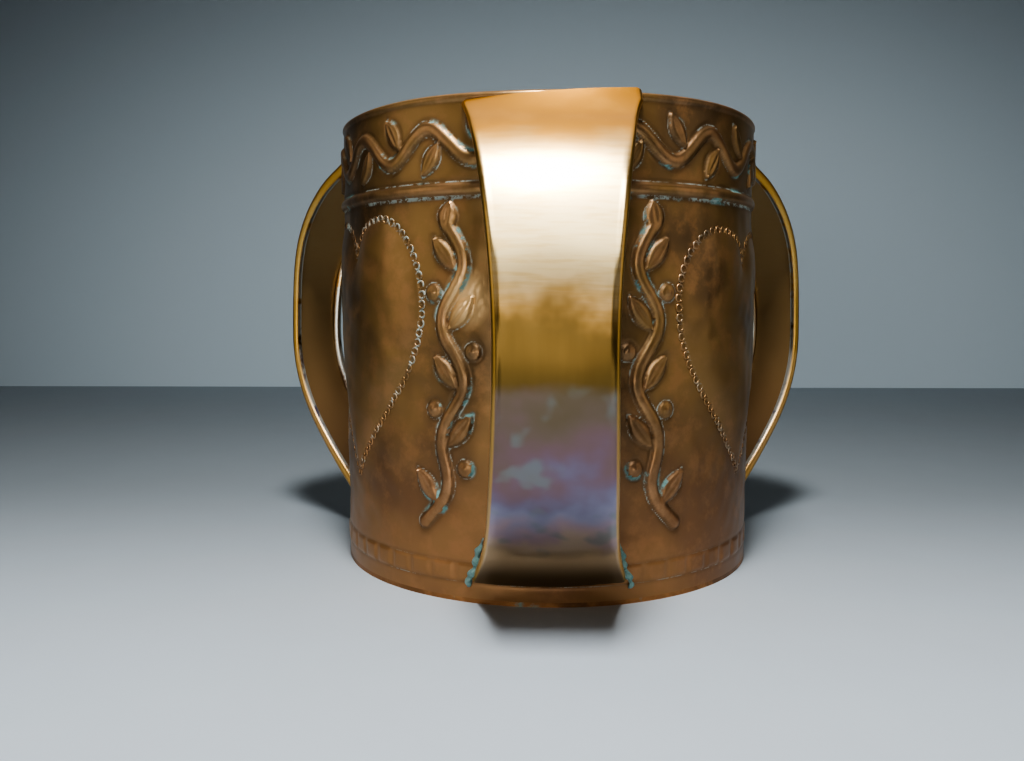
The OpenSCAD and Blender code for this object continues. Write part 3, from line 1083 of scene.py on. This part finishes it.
class Finishes:
    """Builds every material of the mug and its set once."""

    # the backdrop's faint glow is painted light; it is no lamp
    backdrop_glow: float = 0.1

    def __init__(self) -> None:
        """Makes the shared node groups."""
        self.patina = patina_group()
        self.corrosion = corrosion_group()
        self.hand_work = hand_work_group()

    def start(self, name: str) -> tuple:
        """A new material, its graph, its shader and its place socket."""
        material = bpy.data.materials.new(name)
        material.use_nodes = True
        material.node_tree.nodes.clear()
        graph = NodeGraph(material.node_tree)
        shader = graph.add("ShaderNodeBsdfPrincipled")
        output = graph.add("ShaderNodeOutputMaterial")
        graph.feed(output.inputs["Surface"], shader.outputs[0])
        place = graph.add("ShaderNodeTexCoord").outputs["Object"]
        return material, graph, shader, place

    def group(self, graph: NodeGraph, tree: bpy.types.NodeTree, inputs: dict) -> bpy.types.Node:
        """Places a shared group in a material with its own values."""
        node = graph.add("ShaderNodeGroup", node_tree=tree)
        for key, value in inputs.items():
            graph.feed(node.inputs[key], value)
        return node

    def clouds(self, graph: NodeGraph, place: object, finish: CopperFinish) -> tuple:
        """Clouded copper: its colour, and the fine cloud that its gloss follows."""
        node = self.group(graph, self.patina, {
            "Place": place, "Main": finish.main, "Dark": finish.dark, "Warm": finish.warm,
            "Scale": finish.cloud_scale})
        return node.outputs[0], node.outputs[1]

    def wall(self, finish: CopperFinish) -> bpy.types.Material:
        """Embossed wall: darker in the hollows with grime and painted shade, brighter on the ridges with
        rubbing and painted highlight, redder towards the foot.
        """
        wear = WallWear()
        material, graph, shader, place = self.start(finish.name)
        copper, cloud = self.clouds(graph, place, finish)
        height = graph.add("ShaderNodeSeparateXYZ", {0: place}).outputs[2]
        foot = graph.ramp(height, 0.066, 0.010)
        reddened = graph.mix(graph.times(foot, 0.4), copper, wear.foot_red)
        dirt_and_shade = graph.mask("dirt_and_shade")
        polish = graph.mask("polish")
        # darker in the recesses and grooves: grime and painted shade
        darkened = graph.mix(graph.times(dirt_and_shade, 0.65), reddened, finish.dark)
        # brighter tone on the ridges and the rim: rubbing and a painted highlight
        worn = graph.times(polish, graph.ramp(cloud, 0.3, 0.65))
        polished_and_highlit = graph.mix(graph.times(worn, 0.35), darkened, finish.bright)
        rubbed = graph.mask("worn")
        gilded = graph.mix(graph.times(rubbed, 0.9), polished_and_highlit, wear.gilt)
        green = self.group(graph, self.corrosion, {
            "Place": place, "Hollow": dirt_and_shade, "Amount": finish.corrosion})
        greened = graph.mix(green.outputs[0], gilded, green.outputs[1])
        # pale crusting in the grooves, partly a painted glint along the chased edges
        crust_and_glint = self.residue_and_glint(graph, place)
        graph.feed(shader.inputs["Base Color"], graph.mix(crust_and_glint, greened, wear.dried_polish_and_glint))
        covered = graph.most(crust_and_glint, green.outputs[0])
        bare = graph.plus(0.52, graph.times(worn, 0.4))
        graph.feed(shader.inputs["Metallic"], graph.less(bare, covered, clamp=True))
        rough = graph.plus(graph.times(cloud, 0.16), finish.rough - 0.08)
        rough = graph.plus(rough, graph.times(dirt_and_shade, 0.12))
        rough = graph.plus(rough, graph.times(covered, 0.4), clamp=True)
        graph.feed(shader.inputs["Roughness"], rough)
        self.bump(graph, shader, place, finish)
        return material

    def residue_and_glint(self, graph: NodeGraph, place: object) -> bpy.types.NodeSocket:
        """Old polishing paste dried pale in the chased grooves, in broken lines, which also stands in for
        painted glints along the chased edges.
        """
        patches = graph.ramp(graph.noise(place, 70.0, 2.0), 0.44, 0.56)
        grains = graph.ramp(graph.noise(place, 620.0, 3.0, 0.7), 0.42, 0.56)
        held = graph.ramp(graph.mask("crust_and_glint"), 0.5, 0.95)
        return graph.times(graph.times(patches, grains), held)

    def strap(self, finish: CopperFinish) -> bpy.types.Material:
        """Strap: golden at the rim, then a paler band that is partly polishing by handling and partly a
        painted sheen, an ochre band that is a painted dim reflection, heat tints, and a foot lightened as
        painted light and darkened as painted shade.

        Its rolled edges are brown gold, its inner face is duller, and a painted highlight runs along the
        lips of its curls.
        """
        wear = StrapWear()
        material, graph, shader, place = self.start(finish.name)
        copper, cloud = self.clouds(graph, place, finish)
        along = graph.mask("along")
        inside = graph.mask("inside")
        soft = graph.less(graph.noise(place, 70.0, 3.0), 0.5)
        drift = graph.plus(along, graph.times(soft, 0.10))
        # paler band: partly polishing by handling, partly a painted sheen
        pale = graph.times(graph.ramp(drift, 0.10, 0.20), graph.ramp(drift, 0.49, 0.40))
        rubs = graph.noise(graph.stretch(place, (0.12, 0.12, 1.0)), 900.0, 2.0)
        pale_tone = graph.mix(graph.ramp(rubs, 0.4, 0.7), wear.pale, wear.rubbed_sheen)
        handled_and_sheen = graph.mix(graph.times(pale, 0.85), copper, pale_tone)
        # ochre band: a painted dim reflection, darkening the metal's colour
        ochre = graph.times(graph.ramp(drift, 0.40, 0.472), 0.95)
        streaks = graph.noise(graph.stretch(place, (1.0, 1.0, 0.12)), 210.0, 3.0)
        ochre_tone = graph.mix(streaks, wear.ochre_dark, wear.ochre_light)
        ochre_dim_reflection = graph.mix(ochre, handled_and_sheen, ochre_tone)
        fine_drift = graph.plus(along, graph.times(soft, 0.035))
        zone = graph.times(graph.ramp(fine_drift, 0.532, 0.556), graph.ramp(drift, 0.93, 0.86))
        zone = graph.times(zone, graph.less(1.0, inside))
        tinted = graph.mix(graph.times(zone, 0.95), ochre_dim_reflection, self.heat_tint(graph, place, along, wear))
        # foot: painted light, then painted shade where the strap faces down
        foot_painted_zone = graph.times(graph.ramp(drift, 0.85, 0.92), 0.9)
        foot_lit_and_shaded = graph.mix(graph.ramp(along, 0.90, 0.98), wear.foot_painted_light, wear.foot_painted_shade)
        tinted = graph.mix(foot_painted_zone, tinted, foot_lit_and_shaded)
        inner_tone = graph.mix(graph.ramp(along, 0.2, 0.8), wear.inner_top, wear.inner_foot)
        sided = graph.mix(graph.times(inside, 0.9), tinted, inner_tone)
        rolled = graph.times(graph.mask("edge"), 0.8)
        edged = graph.mix(rolled, sided, finish.bright)
        # pale lips of the curls: a painted highlight
        lip_highlight = graph.times(graph.mask("lip"), graph.ramp(graph.noise(place, 120.0, 3.0), 0.36, 0.48))
        graph.feed(shader.inputs["Base Color"], graph.mix(lip_highlight, edged, wear.lip_highlight))
        dull = graph.most(graph.times(zone, 0.3), graph.times(foot_painted_zone, 0.5))
        dull = graph.most(dull, graph.times(inside, 0.5))
        graph.feed(shader.inputs["Metallic"], graph.less(1.0, dull))
        rough = graph.plus(graph.times(cloud, 0.10), finish.rough - 0.05)
        rough = graph.plus(rough, graph.times(inside, 0.08), clamp=True)
        graph.feed(shader.inputs["Roughness"], rough)
        self.bump(graph, shader, place, finish)
        return material

    def heat_tint(
        self, graph: NodeGraph, place: object, along: object, wear: StrapWear
    ) -> bpy.types.NodeSocket:
        """Colours left by the torch: brown, rose, violet, blue and tan, in soft patches; the last rose
        and the tan are lightened as painted light.
        """
        wander = graph.less(graph.noise(place, 62.0, 2.5, 0.6), 0.5)
        value = graph.plus(along, graph.times(wander, 0.34))
        ramp = graph.add("ShaderNodeValToRGB", {0: value})
        ramp.color_ramp.interpolation = "B_SPLINE"
        elements = ramp.color_ramp.elements
        elements[0].position, elements[0].color = wear.heat[0]
        elements[1].position, elements[1].color = wear.heat[-1]
        for position, colour in wear.heat[1:-1]:
            elements.new(position).color = colour
        cool = graph.times(graph.ramp(graph.noise(place, 95.0, 2.0), 0.54, 0.68), 0.65)
        return graph.mix(cool, ramp.outputs[0], wear.cool_patch)

    def plain(self, finish: CopperFinish, metallic: float = 1.0) -> bpy.types.Material:
        """Clouded metal with hand work, for the base, the seam, the wires, the solder and its green
        crusting.
        """
        material, graph, shader, place = self.start(finish.name)
        copper, cloud = self.clouds(graph, place, finish)
        cover = graph.plus(graph.times(cloud, 0.6), 0.4)
        green = self.group(graph, self.corrosion, {
            "Place": place, "Hollow": cover, "Amount": finish.corrosion})
        covered, tone = green.outputs[0], green.outputs[1]
        graph.feed(shader.inputs["Base Color"], graph.mix(covered, copper, tone))
        graph.feed(shader.inputs["Metallic"], graph.less(metallic, covered, clamp=True))
        rough = graph.plus(graph.times(cloud, 0.2), finish.rough - 0.1)
        graph.feed(shader.inputs["Roughness"], graph.plus(rough, graph.times(covered, 0.4)))
        self.bump(graph, shader, place, finish)
        return material

    def bump(self, graph: NodeGraph, shader: bpy.types.Node, place: object, finish: CopperFinish) -> None:
        """Feeds the hand work's height to the shader's normal."""
        work = self.group(graph, self.hand_work, {
            "Place": place, "Planish": finish.planish, "Grain": finish.grain, "Scratch": finish.scratch})
        bump = graph.add("ShaderNodeBump", {
            "Height": work.outputs[0], "Strength": finish.bump, "Distance": METRES})
        graph.feed(shader.inputs["Normal"], bump.outputs[0])

    def backdrop(self, name: str, near: tuple, far: tuple) -> bpy.types.Material:
        """Backdrop with painted light: a pale pool painted behind the mug, darker away from it as painted
        shade, and a faint glow of its own though it is no lamp.
        """
        material, graph, shader, place = self.start(name)
        centred = graph.add("ShaderNodeMapping", {
            "Vector": place, "Location": (-0.06, 0.0, -0.02), "Scale": (0.85, 0.0, 1.6)}).outputs[0]
        away = graph.add("ShaderNodeVectorMath", {0: centred}, operation="LENGTH").outputs["Value"]
        tone = graph.mix(graph.ramp(away, 0.22, 0.8), near, far)
        graph.feed(shader.inputs["Base Color"], tone)
        graph.feed(shader.inputs["Emission Color"], tone)
        shader.inputs["Emission Strength"].default_value = self.backdrop_glow
        shader.inputs["Roughness"].default_value = 0.9
        return material

    def table(self, name: str, near: tuple, far: tuple) -> bpy.types.Material:
        """Matt table, a little darker towards the back as painted shade, with a faint grain."""
        material, graph, shader, place = self.start(name)
        back = graph.add("ShaderNodeSeparateXYZ", {0: place}).outputs[1]
        graded = graph.mix(graph.ramp(back, -0.15, 0.10), near, far)
        speck = graph.times(graph.noise(place, 40.0, 5.0, 0.6), 0.06)
        graph.feed(shader.inputs["Base Color"], graph.mix(speck, graded, (0, 0, 0, 1)))
        shader.inputs["Roughness"].default_value = 0.6
        return material


# ---------------------------------------------------------------- the studio


@dataclass(frozen=True)
class Lamp:
    """A rectangular soft light: its middle, the point it faces, its size in metres, power and colour.

    One that is on metal only shows as a gleam alone, as a card held beside metal does.
    """

    name: str
    place: tuple
    aim: tuple
    size: tuple
    power: float
    colour: tuple
    on_metal_only: bool = False


LAMPS = (
    Lamp("key light", (-0.01, -0.20, 0.52), (-0.01, -0.18, 0.0), (0.08, 0.16), 2.4, (1.0, 0.99, 0.97)),
    Lamp("top gleam", (0.0, -0.31, 0.50), (0, -0.09, 0.1), (0.3, 0.18), 0.68, (0.82, 0.91, 1.0), True),
    Lamp("low gleam", (0.0, -0.5, 0.42), (0, -0.09, 0.1), (0.4, 0.25), 1.0, (0.84, 0.93, 1.0), True),
    Lamp("left glow", (-0.7, -0.25, 0.25), (0, 0, 0.08), (0.5, 0.5), 0.5, (1.0, 0.95, 0.86), True),
    Lamp("right glow", (0.7, -0.25, 0.25), (0, 0, 0.08), (0.5, 0.5), 0.4, (1.0, 0.95, 0.86), True),
    Lamp("lid glow", (0.0, 0.22, 0.6), (0, 0.1, 0.1), (0.9, 0.5), 0.85, (1.0, 0.93, 0.82), True),
    Lamp("front fill", (-0.18, -1.0, 0.085), (0, 0, 0.07), (0.8, 0.15), 1.4, (1.0, 0.98, 0.95)),
)


@dataclass
class Studio:
    """Plain pale table, a plain backdrop, soft lights and the camera.

    The camera's distance and rise are in radii of the mug; the set is in metres, and the
    camera's turns are in radians unless they say degrees.
    """

    size: MugSize
    lens: float = 31.62
    distance: float = 4.598
    rise: float = 1.28
    side_step_deg: float = 1.0
    dip: float = 0.0946
    swing: float = -0.0382
    backdrop_y: float = 0.49
    table_half: float = 2.2
    backdrop_height: float = 0.42

    def camera(self) -> None:
        """Stands the camera in front of the mug, a little to the left, looking slightly down."""
        r = self.size.radius * METRES
        step = math.radians(self.side_step_deg)
        away = self.distance * r
        data = bpy.data.cameras.new("camera")
        data.lens = self.lens
        data.sensor_width = 36.0
        data.clip_start = 0.005
        camera = bpy.data.objects.new("camera", data)
        camera.location = (-math.sin(step) * away, -math.cos(step) * away, self.rise * r)
        bearing = self.swing + step
        look = Vector((
            math.sin(bearing) * math.cos(self.dip),
            math.cos(bearing) * math.cos(self.dip),
            -math.sin(self.dip),
        ))
        camera.rotation_mode = "QUATERNION"
        camera.rotation_quaternion = look.to_track_quat("-Z", "Y")
        bpy.context.scene.collection.objects.link(camera)
        bpy.context.scene.camera = camera

    def hang(self, lamp: Lamp) -> None:
        """Hangs one lamp, turned to face its point."""
        data = bpy.data.lights.new(lamp.name, "AREA")
        data.shape = "RECTANGLE"
        data.size, data.size_y = lamp.size
        data.energy = lamp.power
        data.color = lamp.colour
        light = bpy.data.objects.new(lamp.name, data)
        light.location = lamp.place
        light.rotation_mode = "QUATERNION"
        light.rotation_quaternion = (Vector(lamp.aim) - Vector(lamp.place)).to_track_quat("-Z", "Y")
        light.visible_diffuse = not lamp.on_metal_only
        bpy.context.scene.collection.objects.link(light)

    def sheet(self, name: str, corners: list, finish: bpy.types.Material) -> None:
        """A flat piece of the set, not part of the mug."""
        mesh = bpy.data.meshes.new(name)
        mesh.from_pydata(corners, [], [list(range(len(corners)))])
        mesh.materials.append(finish)
        piece = bpy.data.objects.new(name, mesh)
        bpy.context.scene.collection.objects.link(piece)

    def build(self, finishes: Finishes) -> None:
        """Sets the table, the backdrop, the lights and the surroundings."""
        # the table's two tones: painted light at the front and painted shade towards the back
        table = finishes.table("pale table", (0.70, 0.79, 0.88, 1), (0.36, 0.41, 0.45, 1))
        # the backdrop's two tones: painted light behind the mug and painted shade away from it
        wall = finishes.backdrop("grey backdrop", (0.56, 0.66, 0.72, 1), (0.13, 0.155, 0.175, 1))
        wide, deep, tall = self.table_half, self.backdrop_y, self.backdrop_height
        floor = [(-wide, -wide, 0), (wide, -wide, 0), (wide, deep, 0), (-wide, deep, 0)]
        back = [(-wide, deep, 0), (wide, deep, 0), (wide, deep, tall), (-wide, deep, tall)]
        self.sheet("table", floor, table)
        self.sheet("backdrop", back, wall)
        for lamp in LAMPS:
            self.hang(lamp)
        world = bpy.data.worlds.new("soft surroundings")
        world.use_nodes = True
        background = world.node_tree.nodes["Background"]
        background.inputs["Color"].default_value = (0.50, 0.52, 0.55, 1)
        background.inputs["Strength"].default_value = 0.03
        bpy.context.scene.world = world
        bpy.context.scene.view_settings.look = "AgX - High Contrast"


# ---------------------------------------------------------------- building the mug


WALL_COPPER = CopperFinish(
    name="embossed old copper", main=(0.34, 0.20, 0.075, 1), dark=(0.15, 0.088, 0.042, 1),
    warm=(0.46, 0.24, 0.10, 1), bright=(0.70, 0.43, 0.26, 1), rough=0.32, cloud_scale=26.0,
    corrosion=0.42, planish=0.5)
STRAP_COPPER = CopperFinish(
    name="golden strap copper", main=(0.84, 0.42, 0.08, 1), dark=(0.76, 0.35, 0.06, 1),
    warm=(0.88, 0.46, 0.10, 1), bright=(0.62, 0.37, 0.10, 1), rough=0.33, cloud_scale=24.0,
    corrosion=0.0, planish=0.12, grain=0.7, scratch=0.8, bump=0.06)
BASE_COPPER = CopperFinish(
    name="scuffed base copper", main=(0.36, 0.18, 0.08, 1), dark=(0.17, 0.09, 0.045, 1),
    warm=(0.55, 0.28, 0.12, 1), rough=0.42, corrosion=0.3, scratch=2.0)
WIRE_COPPER = CopperFinish(
    name="drawn wire copper", main=(0.6, 0.33, 0.16, 1), dark=(0.3, 0.15, 0.07, 1),
    warm=(0.7, 0.4, 0.2, 1), rough=0.3, corrosion=0.1)
SPELTER = CopperFinish(
    name="brazed seam", main=(0.62, 0.45, 0.18, 1), dark=(0.3, 0.2, 0.08, 1),
    warm=(0.6, 0.36, 0.14, 1), rough=0.35, corrosion=0.2)
SOLDER = CopperFinish(
    name="old solder", main=(0.42, 0.43, 0.4, 1), dark=(0.16, 0.15, 0.12, 1),
    warm=(0.4, 0.3, 0.18, 1), rough=0.45, corrosion=0.75, grain=2.0)
CRUST = CopperFinish(
    name="green crusted solder", main=(0.30, 0.36, 0.33, 1), dark=(0.10, 0.16, 0.15, 1),
    warm=(0.42, 0.34, 0.22, 1), rough=0.55, cloud_scale=160.0,
    corrosion=0.95, grain=3.0, bump=0.3)


@dataclass
class Mug:
    """The whole mug: wall, straps and the frame's own pieces, with their finishes."""

    size: MugSize
    finishes: Finishes

    def build_wall(self) -> None:
        """Makes the three embossed sectors and their hearts' rings."""
        finish = self.finishes.wall(WALL_COPPER)
        wall = Wall(self.size)
        for index, (piece, pattern) in enumerate(wall.sectors()):
            place_piece(piece, "wall_copper", finish, "body_wall")
            place_piece(wall.rings(index, pattern), "wall_copper", finish)

    def build_straps(self) -> None:
        """Makes the three straps, the wires in their edges and the crusted solder beside their feet."""
        finish = self.finishes.strap(STRAP_COPPER)
        crust_finish = self.finishes.plain(CRUST, metallic=0.25)
        wire_finish = self.finishes.plain(WIRE_COPPER)
        for bearing in Bearing:
            strap = Strap(self.size, bearing)
            place_piece(strap.build(), "handle_copper", finish, f"handle_{bearing.word}")
            for side, name in ((-1, "left"), (1, "right")):
                node = f"{bearing.word}_edge_wire_{name}"
                place_piece(strap.wire(side), "wire_copper", wire_finish, node)
                place_piece(FootCrust(strap, side).build(), "solder", crust_finish)

    def dress_frame(self, nodes: dict) -> None:
        """Gives the frame's own pieces their finishes."""
        base = self.finishes.plain(BASE_COPPER)
        wire = self.finishes.plain(WIRE_COPPER)
        spelter = self.finishes.plain(SPELTER)
        solder = self.finishes.plain(SOLDER, metallic=0.9)
        for name, node in sorted(nodes.items()):
            finish = wire
            if name == "base_disc":
                finish = base
            elif name == "body_seam":
                finish = spelter
            elif name.endswith("solder"):
                finish = solder
            node.data.materials.clear()
            node.data.materials.append(finish)
            LOG.info("%s keeps its own mesh, dressed in %s", name, finish.name)


def main() -> None:
    """Builds the mug around the frame, then the studio."""
    logging.basicConfig(level=logging.INFO, format="%(name)s: %(message)s")
    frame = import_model()
    size = MugSize.from_frame()
    finishes = Finishes()
    studio = Studio(size)
    studio.camera()
    mug = Mug(size, finishes)
    mug.dress_frame(frame["nodes"])
    mug.build_wall()
    mug.build_straps()
    studio.build(finishes)
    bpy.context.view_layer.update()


if __name__ == "__main__":
    main()
